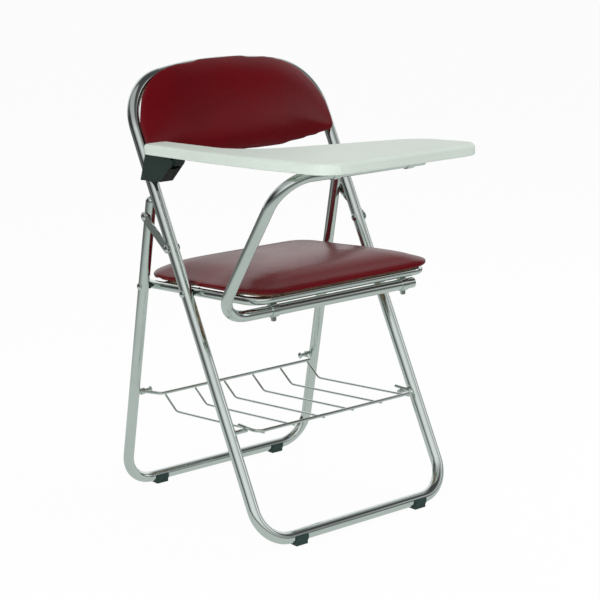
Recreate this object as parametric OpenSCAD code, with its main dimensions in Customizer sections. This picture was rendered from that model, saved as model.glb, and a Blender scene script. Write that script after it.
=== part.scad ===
// Folding lecture chair: bent tube frame, padded seat and back, book rack and writing tablet.
// The origin is on the floor below the middle of the whole chair; the sitter looks along -Y.
// The sitter's right side is -X. All lengths are in millimetres.

/* [Main frame] */
// Outer diameter of the main frame tube
main_tube_d = 22.2; // [20:0.1:24]
// Distance between the centre lines of the two main legs
frame_w = 444; // [420:1:470]
// Lean of the main frame from the vertical, in degrees
main_lean = 27.8; // [26.5:0.1:28.5]
// Length up the main frame from the floor rail to the top of its arch
arch_height = 896; // [880:1:930]
// Bend radius of the main frame at the floor
main_floor_bend_r = 62; // [50:1:80]
// Bend radius of the arch corners
arch_corner_r = 100; // [90:1:110]
// Radius of the shallow crown of the arch
arch_crown_r = 800; // [700:10:1200]

/* [Rear frame] */
// Outer diameter of the rear frame tube
rear_tube_d = 20; // [18:0.1:21]
// Distance between the two floor rails
floor_spread = 425; // [415:1:440]
// Forward lean of the rear legs from the vertical, in degrees
rear_lean = 10.2; // [9.5:0.1:11]
// Bend radius of the rear frame at the floor
rear_floor_bend_r = 60; // [50:1:80]
// Thickness of rubber under each floor rail
foot_sole = 3.9; // [2:0.1:8]
// Length of each clip-on foot along its rail
foot_len = 26; // [16:1:36]
// Distance from the middle of the chair to each foot
foot_offset = 144; // [110:1:146]

/* [Fold pivots] */
// Height of the seat pivot along the main leg
seat_pivot_up = 468; // [464:1:474]
// Height of the seat pivot along the rear leg
rear_pivot_up = 411; // [408:1:414]
// Distance up the main leg from the seat pivot to the link pivot
link_main_rise = 86.6; // [84:0.1:90]
// Distance up the rear leg from the seat pivot to the link pivot
link_rear_rise = 137.8; // [135:0.1:140]
// Diameter of the pivot rivets
rivet_d = 8; // [6:0.5:9]
// Width of the link straps
strap_w = 16; // [13:1:18]
// Thickness of the link straps
strap_t = 3; // [2:0.5:4]

/* [Seat] */
// Outer diameter of the seat frame tube
seat_tube_d = 16; // [14:0.5:18]
// Distance from the seat pivot forward to the seat's front rail
seat_front_reach = 172.5; // [165:0.5:185]
// Bend radius of the seat frame's front corners
seat_corner_r = 30; // [24:1:40]
// Thickness of the seat board
seat_board_t = 9; // [6:1:12]
// Height of the seat cushion's side above the board's underside
seat_pad_side = 18; // [16:1:24]
// Height that the crown of the seat cushion adds
seat_pad_crown = 20; // [12:1:24]

/* [Back] */
// Lowest point of the back cushion, along the main frame
back_bottom = 717; // [710:1:725]
// Thickness of the back cushion at its edge
back_pad_side = 10; // [9:1:16]
// Height that the crown of the back cushion adds
back_pad_crown = 18; // [10:1:24]
// Thickness of the back board
back_board_t = 5; // [4:0.5:6]

/* [Writing arm] */
// Outer diameter of the arm tube
arm_tube_d = 20; // [18:0.1:21]
// Distance from the chair's middle out to the arm tube
arm_side = 286; // [280:1:296]
// Distance between the arm tube's lower and upper legs
arm_rise = 321; // [315:1:330]
// Forward lean of the arm tube from the vertical, in degrees
arm_lean = 33.2; // [32:0.1:34]
// Bend radius at the arm tube's elbow
arm_elbow_r = 65; // [55:1:70]
// Bend radius under the tablet
arm_top_r = 62; // [55:1:70]
// Slope of the tablet towards the sitter, in degrees
tablet_tilt = 4; // [3.7:0.05:4.3]
// Thickness of the tablet's rim
tablet_t = 19; // [16:1:22]
// Wall of the moulded tablet
tablet_wall = 3.5; // [2.5:0.1:5]

/* [Book rack] */
// Height of the rack's rear pins above the floor
rack_height = 203; // [190:1:215]
// Diameter of the rack's front and back wires
rack_wire_d = 6; // [5:0.5:7]
// Diameter of the rack's shelf wires
shelf_wire_d = 4; // [3:0.5:5]
// Number of shelf wires
shelf_wire_count = 6; // [4:1:9]
// Diameter of the pins that carry the rack
rack_pin_d = 8; // [7:0.5:9]

/* [Hidden] */
$fn = 48;
tube_sides = 48;
ring_steps = 48;
crown_steps = 300;
ball_sides = 60;
wire_sides = 20;
pad_corner_steps = 5;
seat_corner_steps = 8;
bow_steps = 12;
bow_skip = 3;
back_crown_rings = 7;
seat_crown_rings = 8;

// Clearances and overrun
cut_over = 4;
running_gap = 0.05;
seat_gap = 0.3;
weld_sink = 0.6;
stop_gap = 0.3;
bend_lap = 0.4;
bend_thin = 0.08;

// Radii that several pieces share
main_r = main_tube_d / 2;
rear_r = rear_tube_d / 2;
seat_r = seat_tube_d / 2;
arm_r = arm_tube_d / 2;
rivet_r = rivet_d / 2;
half_w = frame_w / 2;
rack_pin_r = rack_pin_d / 2;
rack_wire_r = rack_wire_d / 2;
shelf_wire_r = shelf_wire_d / 2;

// Rivet and screw heads
rivet_head_d = 14;
rivet_head_h = 3;
screw_d = 4;
screw_head_d = 9;
screw_head_h = 2.6;
screw_grip = 6;

// Heights of the two floor rails
main_rail_z = foot_sole + main_r;
rear_rail_z = foot_sole + rear_r;

// Places of the pivots in the chair's side view, as [y, z] from the front floor rail
function on_main_leg(s) = [s * sin(main_lean), main_rail_z + s * cos(main_lean)];
function on_rear_leg(s) = [floor_spread - s * sin(rear_lean), rear_rail_z + s * cos(rear_lean)];
link_main_up = seat_pivot_up + link_main_rise;
link_rear_up = rear_pivot_up + link_rear_rise;
seat_pivot = on_main_leg(seat_pivot_up);
rear_pivot = on_rear_leg(rear_pivot_up);
link_main = on_main_leg(link_main_up);
link_rear = on_rear_leg(link_rear_up);
seat_span = norm(rear_pivot - seat_pivot);
seat_slope = atan2(seat_pivot[1] - rear_pivot[1], rear_pivot[0] - seat_pivot[0]);
link_len = norm(link_rear - link_main);
link_angle = atan2(link_rear[1] - link_main[1], link_rear[0] - link_main[0]);

// The rear legs end where their domed caps meet the back of the main legs
leg_stop = main_r + rear_r + stop_gap;
rear_leg_len = (floor_spread * cos(main_lean) - (rear_rail_z - main_rail_z) * sin(main_lean)
    - leg_stop) / sin(rear_lean + main_lean);

// Seat frame across the chair
pivot_gap = 2;
seat_rail_x = half_w - main_r - pivot_gap - seat_r;
rear_gap = half_w - rear_r - seat_rail_x - seat_r;
rail_tail = 14;
cross_rail_back = 104;
seat_tab_w = 24;
seat_tab_len = 30;
seat_tab_t = 2.5;
seat_tab_front = -112;
seat_tab_back = 40;
seat_tab_in = 16;

// Arm bar under the seat, in the seat's own frame
saddle_t = 2;
bar_drop = seat_r + arm_r + saddle_t + seat_gap;
bar_far_end = 168;
saddle_len = 14;
saddle_near_x = -163;
saddle_far_x = 143;
saddle_boss_r = 5;
saddle_boss_h = 5;

// Side view places of the arm tube's two axes
function seat_point(y, z) = [seat_pivot[0] + y * cos(seat_slope) + z * sin(seat_slope),
    seat_pivot[1] - y * sin(seat_slope) + z * cos(seat_slope)];
bar_axis = seat_point(-seat_front_reach, -bar_drop);
top_axis = [bar_axis[0] - arm_rise * sin(arm_lean), bar_axis[1] + arm_rise * cos(arm_lean)];
arm_top_end = 22;
plug_t = 3;

// Tablet outline, measured from the upper arm leg: x across, y towards the back
tablet_rise = arm_r + seat_gap;
tablet_rear = 452;
tablet_front = 105;
tablet_outer_rear = 241;
tablet_outer_waist = 265;
tablet_outer_mid = 275;
tablet_outer_front = 277;
tablet_inner_front = 72;
tablet_inner_rear = 188;
tablet_waist_x = 213;
tablet_waist_y = 190;
tablet_shoulder_y = 60;
tablet_mid_y = 90;
tablet_neck_y = 242;
tablet_end_r = 14;
tablet_side_r = 500;
tablet_outer_r = 46;
tablet_inner_r = 72;
tablet_tip_r = 50;
tablet_waist_r = 120;
tablet_top_round = 6;
tablet_foot_round = 2;
tablet_arc_steps = 8;
tablet_row_gap = 1.5;
tablet_rib_t = 2.5;
tablet_rib_h = 9;
tablet_rib_pitch = 62;
tablet_pad_w = 34;
tablet_saddle_near = -176;
tablet_saddle_far = -12;
saddle_flange = 11;

// Hinge of the tablet on its bracket, measured from the tablet's underside
lug_w = 18;
lug_pin_y = 372;
lug_pin_z = -10;
lug_pin_r = 4;
lug_eye_r = 7.5;
lug_base_len = 44;
bracket_w = 28;
bracket_wall = 4;
bracket_top_gap = 1.2;
bracket_nose = 17;
bracket_foot_y = 37;
bracket_depth = 48;
bracket_top_y = 79;
bracket_heel_y = 98;
bracket_block_y = 52;
bracket_lip = 14;
bracket_floor_t = 5;
bracket_floor_run = 6.3;
bracket_screw_up = 696;
notch_low_turn = 13;
notch_high_turn = 52;

// Rack
rack_pin_len = 27;
rack_side_in = 32;
rack_back_in = 36;
rack_front_y = 57;
rack_corner_r = 15;
rack_tail = 14;
rack_drop = 29;
rack_drop_run = 35;
rack_wire_bend_r = 10;
shelf_bend_r = 16;
rack_eye_wall = 2.5;
rack_eye_len = 8;

// Back cushion
back_edge_in = 2;
back_top_out = 3.5;
back_shoulder_r = 123;
back_low_rise = 18;
back_corner_r = 24;
back_gap = 0.3;
back_tab_up = 762;
back_tab_w = 26;
back_tab_len = 20;
back_tab_t = 2.5;
back_tab_in = 12;
back_upper_tab_x = 84;
back_board_inset = 14;
arch_steps = 14;

// Reach of the chair on each side, which sets the origin
link_plane = half_w + main_r + seat_gap;
reach_right = arm_side + arm_r;
reach_left = link_plane + strap_t + seat_gap + rivet_head_h;
reach_front = tablet_front * cos(tablet_tilt)
    - (tablet_rise + tablet_foot_round) * sin(tablet_tilt) - top_axis[0];
reach_back = floor_spread + rear_r + foot_sole;
middle_x = (reach_right - reach_left) / 2;
middle_y = (reach_front - reach_back) / 2;

// Colours
chrome = [0.80, 0.82, 0.83];
vinyl = [0.42, 0.03, 0.08];
black = [0.06, 0.06, 0.06];
pale = [0.84, 0.87, 0.84];
board = [0.45, 0.32, 0.20];

// Frames of reference
module at_chair() {
    translate([middle_x, middle_y, 0]) children();
}
module on_main() {
    at_chair() translate([0, 0, main_rail_z]) rotate([-main_lean, 0, 0]) children();
}
module on_rear() {
    at_chair() translate([0, floor_spread, rear_rail_z]) rotate([rear_lean, 0, 0]) children();
}
module on_seat() {
    at_chair() translate([0, seat_pivot[0], seat_pivot[1]]) rotate([-seat_slope, 0, 0]) children();
}
module on_arm() {
    at_chair() translate([0, bar_axis[0], bar_axis[1]]) rotate([arm_lean, 0, 0]) children();
}
module on_tablet() {
    at_chair() translate([0, top_axis[0], top_axis[1]]) rotate([-tablet_tilt, 0, 0])
        translate([0, 0, tablet_rise]) children();
}
module both_sides() {
    children();
    mirror([1, 0, 0]) children();
}

// A rod along X from x1 to x2
module rod_x(x1, x2, r) {
    translate([x1, 0, 0]) rotate([0, 90, 0]) cylinder(r = r, h = x2 - x1);
}
// A rod along the local Z from z1 to z2
module rod_z(z1, z2, r) {
    translate([0, 0, z1]) cylinder(r = r, h = z2 - z1);
}
// A bent stretch of tube in the XY plane, from the angle a0 over turn; a bend is a little
// thinner than the straight tube and runs a little way into it
module flat_bend(r, bend_r, a0, turn, steps = ring_steps) {
    lap = bend_lap / bend_r * 180 / PI;
    rotate([0, 0, a0 - lap]) rotate_extrude(angle = turn + 2 * lap, $fn = steps)
        translate([bend_r, 0]) circle(r = r - bend_thin, $fn = tube_sides);
}
// The same in the XZ plane
module tube_bend(r, bend_r, a0, turn, steps = ring_steps) {
    rotate([90, 0, 0]) flat_bend(r, bend_r, a0, turn, steps);
}
// The same in the YZ plane
module side_bend(r, bend_r, a0, turn, steps = ring_steps) {
    rotate([90, 0, 90]) flat_bend(r, bend_r, a0, turn, steps);
}
// A domed rivet head that stands on the plane x = 0 and points along +X
module rivet_head(d, h) {
    ball_r = (d * d / 4 + h * h) / (2 * h);
    intersection() {
        translate([h - ball_r, 0, 0]) rotate([0, 90, 0]) sphere(r = ball_r, $fn = ball_sides);
        rod_x(0, h, d / 2);
    }
}
// A screw whose head lies under the plane z = 0 and whose shank goes up
module screw_up(len) {
    rod_z(0, len, screw_d / 2);
    intersection() {
        translate([0, 0, screw_head_d - screw_head_h]) sphere(r = screw_head_d, $fn = ball_sides);
        rod_z(-screw_head_h, 0, screw_head_d / 2);
    }
}

// Outline helpers
function unit(v) = v / norm(v);
function corner_arc(a, b, c, r, n) = let(
    u = unit(a - b),
    v = unit(c - b),
    half = acos(u * v) / 2,
    mid = b + unit(u + v) * r / sin(half),
    p = b + u * r / tan(half) - mid,
    q = b + v * r / tan(half) - mid,
    a0 = atan2(p[1], p[0]),
    sweep = (atan2(q[1], q[0]) - a0 + 540) % 360 - 180
) [for (i = [0:n]) mid + r * [cos(a0 + sweep * i / n), sin(a0 + sweep * i / n)]];
function rounded(pts, rads, n) = let(k = len(pts)) [for (i = [0:k - 1])
    each corner_arc(pts[(i + k - 1) % k], pts[i], pts[(i + 1) % k], rads[i], n)];
// Moves each point of a closed anticlockwise outline inwards
function inset(pts, d) = let(k = len(pts)) [for (i = [0:k - 1]) let(
    t = unit(pts[(i + 1) % k] - pts[(i + k - 1) % k])) pts[i] + d * [-t[1], t[0]]];
// Numbers in rising order without repeats, and the same with near neighbours left out
function sorted(v) = len(v) < 2 ? v : let(m = v[floor(len(v) / 2)])
    concat(sorted([for (x = v) if (x < m) x]), [m], sorted([for (x = v) if (x > m) x]));
function spaced(v, gap) = let(top = v[len(v) - 1]) concat(
    [for (i = [0:len(v) - 2]) if (i == 0 || (v[i] - v[i - 1] > gap && top - v[i] > gap)) v[i]], [top]);
function lifted(pts, z) = [for (p = pts) [p[0], p[1], z]];
// Triangles across one end of a stack of rings, as rungs between the outline's two halves
function rungs(base, k, up) = [for (i = [0:k / 2 - 2]) let(
    a = base + i, b = a + 1, c = base + k - 2 - i, d = c + 1)
    each (up ? [[a, d, c], [a, c, b]] : [[a, c, d], [a, b, c]])];
// Closes a stack of rings that all have the same even number of points
module skin(rings) {
    k = len(rings[0]);
    m = len(rings);
    polyhedron(points = [for (r = rings) each r], faces = concat(
        rungs(0, k, false),
        [for (j = [0:m - 2], i = [0:k - 1]) [j * k + i, (j + 1) * k + i, (j + 1) * k + (i + 1) % k]],
        [for (j = [0:m - 2], i = [0:k - 1]) [j * k + i, (j + 1) * k + (i + 1) % k, j * k + (i + 1) % k]],
        rungs((m - 1) * k, k, true)), convexity = 6);
}

// Main frame: one tube bent into a closed loop, with tabs for the back and bores for the rivets
arch_turn = asin((half_w - arch_corner_r) / (arch_crown_r - arch_corner_r));
arch_corner_up = arch_height - arch_crown_r + (arch_crown_r - arch_corner_r) * cos(arch_turn);
arch_corner_x = half_w - arch_corner_r;
module main_loop() {
    rod_x(-half_w + main_floor_bend_r, half_w - main_floor_bend_r, main_r);
    both_sides() {
        translate([half_w - main_floor_bend_r, 0, main_floor_bend_r])
            tube_bend(main_r, main_floor_bend_r, -90, 90);
        translate([half_w, 0, 0]) rod_z(main_floor_bend_r, arch_corner_up, main_r);
        translate([arch_corner_x, 0, arch_corner_up])
            tube_bend(main_r, arch_corner_r, 0, 90 - arch_turn);
    }
    translate([0, 0, arch_height - arch_crown_r]) rotate([90, 0, 0]) rotate([0, 0, 90 - arch_turn])
        rotate_extrude(angle = 2 * arch_turn, $fn = crown_steps)
            translate([arch_crown_r, 0]) circle(r = main_r, $fn = tube_sides);
}
module back_tabs() {
    both_sides() {
        translate([half_w - tab_root - back_tab_len, -main_r, back_tab_up - back_tab_w / 2])
            cube([back_tab_len, back_tab_t, back_tab_w]);
        translate([back_upper_tab_x - back_tab_w / 2, -main_r,
            arch_height - arch_sag(back_upper_tab_x) - tab_root - back_tab_len])
            cube([back_tab_w, back_tab_t, back_tab_len]);
    }
}
function arch_sag(x) = arch_crown_r - sqrt(arch_crown_r * arch_crown_r - x * x);
tab_root = main_r / 2;
lower_tab_x = half_w - main_r - back_tab_in;
upper_tab_up = arch_height - main_r - back_tab_in - arch_sag(back_upper_tab_x);
module back_tab_holes(r) {
    both_sides() {
        translate([lower_tab_x, 0, back_tab_up]) rotate([90, 0, 0]) rod_z(0, main_r + cut_over, r);
        translate([back_upper_tab_x, 0, upper_tab_up]) rotate([90, 0, 0])
            rod_z(0, main_r + cut_over, r);
    }
}
module main_frame() {
    color(chrome) on_main() difference() {
        union() {
            main_loop();
            back_tabs();
        }
        back_tab_holes(screw_d / 2 + running_gap);
        for (s = [seat_pivot_up, link_main_up]) translate([0, 0, s])
            rod_x(-half_w - main_r - cut_over, half_w + main_r + cut_over, rivet_r + running_gap);
    }
}

// Clip-on foot around a floor rail, open at the top; its sole lies flat on the floor
foot_flat_share = 0.8;
foot_grip_share = 0.35;
module foot(rail_r, x) {
    outer = rail_r + foot_sole;
    difference() {
        union() {
            translate([x, 0, 0]) rod_x(-foot_len / 2, foot_len / 2, outer);
            translate([x - foot_len / 2, -outer * foot_flat_share, -outer])
                cube([foot_len, 2 * outer * foot_flat_share, outer]);
        }
        translate([x, 0, 0]) rod_x(-foot_len / 2 - cut_over, foot_len / 2 + cut_over,
            rail_r + running_gap);
        translate([x - foot_len / 2 - cut_over, -outer - cut_over, rail_r * foot_grip_share])
            cube([foot_len + 2 * cut_over, 2 * (outer + cut_over), outer + cut_over]);
    }
}
module front_feet() {
    color(black) at_chair() translate([0, 0, main_rail_z]) {
        foot(main_r, foot_offset);
        foot(main_r, -foot_offset);
    }
}
module rear_feet() {
    color(black) at_chair() translate([0, floor_spread, rear_rail_z]) {
        foot(rear_r, foot_offset);
        foot(rear_r, -foot_offset);
    }
}

// Pins on the inner sides of the main legs; the rack's front wire lies on them
rest_pin_z = rack_height - rack_pin_r - rack_wire_r - seat_gap;
rest_pin_y = (rest_pin_z - main_rail_z) * tan(main_lean);
module rack_rest_pins() {
    color(chrome) at_chair() both_sides() translate([0, rest_pin_y, rest_pin_z]) {
        difference() {
            rod_x(half_w - main_r - rack_pin_len, half_w, rack_pin_r);
            translate([half_w, -rest_pin_y, main_rail_z - rest_pin_z]) rotate([-main_lean, 0, 0])
                rod_z(0, arch_corner_up, main_r + running_gap);
        }
    }
}

// Rivets that join the main legs to the seat frame
module seat_pivot_rivets() {
    inner = seat_rail_x - seat_r - seat_gap;
    outer = half_w + main_r + running_gap;
    color(chrome) at_chair() both_sides() translate([0, seat_pivot[0], seat_pivot[1]]) {
        rod_x(inner, outer, rivet_r);
        translate([outer, 0, 0]) rivet_head(rivet_head_d, rivet_head_h);
        translate([inner, 0, 0]) mirror([1, 0, 0]) rivet_head(rivet_head_d, rivet_head_h);
    }
}
// Rivets that join the main legs to the link straps
module link_pivot_rivets() {
    inner = half_w - main_r - running_gap;
    outer = link_plane + strap_t + seat_gap;
    color(chrome) at_chair() both_sides() translate([0, link_main[0], link_main[1]]) {
        rod_x(inner, outer, rivet_r);
        translate([outer, 0, 0]) rivet_head(rivet_head_d, rivet_head_h);
        translate([inner, 0, 0]) mirror([1, 0, 0]) rivet_head(rivet_head_d, rivet_head_h);
    }
}

// Back: outline from the arch, with a gently bowed lower edge
back_half_w = half_w - back_edge_in;
back_top = arch_height + back_top_out;
shoulder_x = back_half_w - back_shoulder_r;
shoulder_turn = asin(shoulder_x / (arch_crown_r - back_shoulder_r));
shoulder_up = back_top - arch_crown_r + (arch_crown_r - back_shoulder_r) * cos(shoulder_turn);
back_bow_r = (back_half_w * back_half_w + back_low_rise * back_low_rise) / (2 * back_low_rise);
back_bow_turn = asin(back_half_w / back_bow_r);
function back_outline(d) = inset(concat(
    corner_arc([0, back_bottom], [back_half_w, back_bottom + back_low_rise],
        [back_half_w, shoulder_up], back_corner_r, pad_corner_steps),
    [for (i = [0:arch_steps / 2]) let(a = (90 - shoulder_turn) * i / (arch_steps / 2))
        [shoulder_x, shoulder_up] + back_shoulder_r * [cos(a), sin(a)]],
    [for (i = [1:arch_steps - 1]) let(a = 90 - shoulder_turn + 2 * shoulder_turn * i / arch_steps)
        [0, back_top - arch_crown_r] + arch_crown_r * [cos(a), sin(a)]],
    [for (i = [0:arch_steps / 2])
        let(a = 90 + shoulder_turn + (90 - shoulder_turn) * i / (arch_steps / 2))
        [-shoulder_x, shoulder_up] + back_shoulder_r * [cos(a), sin(a)]],
    corner_arc([-back_half_w, shoulder_up], [-back_half_w, back_bottom + back_low_rise],
        [0, back_bottom], back_corner_r, pad_corner_steps),
    [for (i = [bow_skip:bow_steps - bow_skip]) let(
        a = 270 - back_bow_turn + 2 * back_bow_turn * i / bow_steps)
        [0, back_bottom + back_bow_r] + back_bow_r * [cos(a), sin(a)]]), d);
back_middle = (back_bottom + arch_height) / 2;
// Rings of a crowned cushion: the side swells a little, then the rings close over the crown
// and turn from the outline into ovals on the way
pad_rise_shares = [0, 0.22, 0.5, 0.78, 0.95];
pad_inset_shares = [1.6, 0.5, 0, 0.8, 2.4];
pad_eye_share = 0.35;
function oval(p, half, f) = let(a = atan2(p[1] / half[1], p[0] / half[0]))
    f * (f * p + (1 - f) * [half[0] * cos(a), half[1] * sin(a)]);
function crowned(pts, mid, half, side, crown, swell, n) = concat(
    [for (i = [0:4]) lifted(inset(pts, swell * pad_inset_shares[i]), side * pad_rise_shares[i])],
    [for (j = [1:n]) let(f = 1 - j / (n + pad_eye_share), g = inset(pts, swell * pad_inset_shares[4]))
        [for (p = g) let(q = mid + oval(p - mid, half, f)) [q[0], q[1], side + crown * (1 - f * f * f)]]]);
back_swell = 3;
module on_back_face() {
    on_main() translate([0, -main_r - back_gap, 0]) rotate([90, 0, 0]) children();
}
module back_board() {
    color(board) on_back_face() difference() {
        linear_extrude(back_board_t) polygon(back_outline(back_board_inset));
        both_sides() {
            translate([lower_tab_x, back_tab_up, 0])
                rod_z(-cut_over, back_board_t - screw_head_h, screw_d / 2 + running_gap);
            translate([back_upper_tab_x, upper_tab_up, 0])
                rod_z(-cut_over, back_board_t - screw_head_h, screw_d / 2 + running_gap);
        }
    }
}
module back_pad() {
    color(vinyl) on_back_face() difference() {
        skin(crowned(back_outline(0), [0, back_middle], [back_half_w, (arch_height - back_bottom) / 2],
            back_pad_side, back_pad_crown, back_swell, back_crown_rings));
        translate([0, 0, -cut_over]) linear_extrude(back_board_t + running_gap + cut_over)
            polygon(back_outline(back_board_inset - running_gap));
    }
}
module back_screws() {
    start = main_r - back_tab_t;
    grip = back_tab_t + back_gap + back_board_t - screw_head_h - seat_gap;
    color(chrome) on_main() both_sides() {
        translate([lower_tab_x, -start, back_tab_up]) rotate([90, 0, 0]) screw_up(grip);
        translate([back_upper_tab_x, -start, upper_tab_up]) rotate([90, 0, 0]) screw_up(grip);
    }
}

// Seat frame: a U of tube with a cross rail, four tabs and bores for the rivets
rail_end = seat_span + rail_tail;
tab_root_share = 1 / 3;
module seat_frame() {
    color(chrome) on_seat() difference() {
        union() {
            translate([0, -seat_front_reach, 0]) rotate([-90, 0, 0])
                rod_x(-seat_rail_x + seat_corner_r, seat_rail_x - seat_corner_r, seat_r);
            both_sides() {
                translate([seat_rail_x - seat_corner_r, -seat_front_reach + seat_corner_r, 0])
                    flat_bend(seat_r, seat_corner_r, -90, 90);
                translate([seat_rail_x, 0, 0]) rotate([-90, 0, 0])
                    rod_z(-seat_front_reach + seat_corner_r, rail_end, seat_r);
                for (y = [seat_tab_front, seat_tab_back])
                    translate([seat_rail_x - seat_r * tab_root_share - seat_tab_len, y - seat_tab_w / 2,
                        seat_r - seat_tab_t]) cube([seat_tab_len, seat_tab_w, seat_tab_t]);
            }
            translate([0, cross_rail_back, 0]) rod_x(-seat_rail_x, seat_rail_x, seat_r - weld_sink);
        }
        rod_x(-half_w, half_w, rivet_r + running_gap);
        translate([0, seat_span, 0]) rod_x(-half_w, half_w, rivet_r + running_gap);
        both_sides() for (y = [seat_tab_front, seat_tab_back]) translate([seat_screw_x, y, 0])
            rod_z(0, seat_r + cut_over, screw_d / 2 + running_gap);
    }
}
seat_screw_x = seat_rail_x - seat_r - seat_tab_in;
seat_pad_side_gap = 5;
seat_pad_overhang = 13;
seat_pad_tail = 33;
seat_pad_taper = 5;
seat_pad_w = half_w - main_r - seat_pad_side_gap;
seat_pad_front = seat_front_reach + seat_r + seat_pad_overhang;
seat_pad_back = seat_span + seat_pad_tail;
seat_pad_rear_w = seat_pad_w - seat_pad_taper;
seat_pad_front_r = 45;
seat_pad_rear_r = 58;
seat_pad_bow = 900;
seat_widest_share = 1 / 3;
seat_board_inset = 12;
seat_swell = 3.5;
function seat_outline(d) = inset(rounded([[-seat_pad_w, -seat_pad_front], [seat_pad_w, -seat_pad_front],
    [seat_pad_w, -seat_pad_front * seat_widest_share], [seat_pad_rear_w, seat_pad_back],
    [-seat_pad_rear_w, seat_pad_back], [-seat_pad_w, -seat_pad_front * seat_widest_share]],
    [seat_pad_front_r, seat_pad_front_r, seat_pad_bow, seat_pad_rear_r, seat_pad_rear_r,
    seat_pad_bow], seat_corner_steps), d);
module on_seat_face() {
    on_seat() translate([0, 0, seat_r + seat_gap]) children();
}
module seat_board() {
    color(board) on_seat_face() difference() {
        linear_extrude(seat_board_t) polygon(seat_outline(seat_board_inset));
        both_sides() for (y = [seat_tab_front, seat_tab_back]) translate([seat_screw_x, y, 0])
            rod_z(-cut_over, seat_board_t - screw_head_h, screw_d / 2 + running_gap);
    }
}
module seat_pad() {
    color(vinyl) on_seat_face() difference() {
        skin(crowned(seat_outline(0), [0, (seat_pad_back - seat_pad_front) / 2],
            [seat_pad_w, (seat_pad_back + seat_pad_front) / 2],
            seat_pad_side, seat_pad_crown, seat_swell, seat_crown_rings));
        translate([0, 0, -cut_over]) linear_extrude(seat_board_t + running_gap + cut_over)
            polygon(seat_outline(seat_board_inset - running_gap));
    }
}
module seat_screws() {
    grip = seat_tab_t + seat_gap + seat_board_t - screw_head_h - seat_gap;
    color(chrome) on_seat() both_sides() for (y = [seat_tab_front, seat_tab_back])
        translate([seat_screw_x, y, seat_r - seat_tab_t]) screw_up(grip);
}
// Washers between the seat rails and the legs
module washer(x1, x2) {
    difference() {
        rod_x(x1, x2, rivet_head_d / 2);
        rod_x(x1 - cut_over, x2 + cut_over, rivet_r + running_gap);
    }
}
module seat_pivot_washers() {
    rail_face = seat_rail_x + seat_r;
    color(black) on_seat() both_sides() washer(rail_face + seat_gap / 2, rail_face + pivot_gap - seat_gap);
}
module rear_pivot_washers() {
    rail_face = seat_rail_x + seat_r;
    color(black) on_seat() both_sides() translate([0, seat_span, 0])
        washer(rail_face + seat_gap / 2, rail_face + rear_gap - seat_gap);
}
// Rivets that join the seat rails to the rear legs
module rear_pivot_rivets() {
    inner = seat_rail_x - seat_r - running_gap;
    outer = half_w + rear_r + seat_gap;
    color(chrome) at_chair() both_sides() translate([0, rear_pivot[0], rear_pivot[1]]) {
        rod_x(inner, outer, rivet_r);
        translate([outer, 0, 0]) rivet_head(rivet_head_d, rivet_head_h);
        translate([inner, 0, 0]) mirror([1, 0, 0]) rivet_head(rivet_head_d, rivet_head_h);
    }
}
// Saddles under the front rail, in which the arm bar turns
module bar_saddles() {
    color(chrome) on_seat() translate([0, -seat_front_reach, -bar_drop])
        for (x = [saddle_near_x, saddle_far_x]) translate([x, 0, 0]) difference() {
            union() {
                rod_x(-saddle_len / 2, saddle_len / 2, arm_r + saddle_t);
                rotate([180, 0, 0]) rod_z(0, arm_r + saddle_t + saddle_boss_h, saddle_boss_r);
            }
            rod_x(-saddle_len, saddle_len, arm_r + running_gap);
            rotate([180, 0, 0]) rod_z(0, arm_r + saddle_t + saddle_boss_h + cut_over,
                screw_d / 2 + running_gap);
        }
}
module saddle_screws() {
    color(chrome) on_seat() translate([0, -seat_front_reach, -bar_drop])
        for (x = [saddle_near_x, saddle_far_x]) translate([x, 0, -arm_r - saddle_t - saddle_boss_h])
            screw_up(saddle_t + saddle_boss_h - seat_gap);
}

// Rear frame: a U of tube with domed caps on its ends and pins for the rack
rack_pin_up = (rack_height - rear_rail_z) / cos(rear_lean);
rack_pin_y = floor_spread - rack_pin_up * sin(rear_lean);
module rear_frame() {
    color(chrome) on_rear() difference() {
        union() {
            rod_x(-half_w + rear_floor_bend_r, half_w - rear_floor_bend_r, rear_r);
            both_sides() {
                translate([half_w - rear_floor_bend_r, 0, rear_floor_bend_r])
                    tube_bend(rear_r, rear_floor_bend_r, -90, 90);
                translate([half_w, 0, 0]) rod_z(rear_floor_bend_r, rear_leg_len, rear_r);
            }
        }
        translate([0, 0, rear_pivot_up])
            rod_x(-half_w - rear_r - cut_over, half_w + rear_r + cut_over, rivet_r + running_gap);
    }
}
module rear_leg_caps() {
    color(chrome) on_rear() both_sides() translate([half_w, 0, rear_leg_len]) intersection() {
        sphere(r = rear_r, $fn = ball_sides);
        rod_z(0, rear_tube_d, rear_tube_d);
    }
}
module rack_pivot_pins() {
    color(chrome) on_rear() both_sides() translate([0, 0, rack_pin_up]) difference() {
        union() {
            rod_x(half_w - rear_r - rack_pin_len, half_w, rack_pin_r);
            translate([half_w - rear_r - rack_pin_len, 0, 0]) mirror([1, 0, 0])
                rivet_head(rack_pin_d + 2 * rack_eye_wall, rack_wire_r);
        }
        translate([half_w, 0, -rack_height]) rod_z(0, 2 * rack_height, rear_r + running_gap);
    }
}

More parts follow.
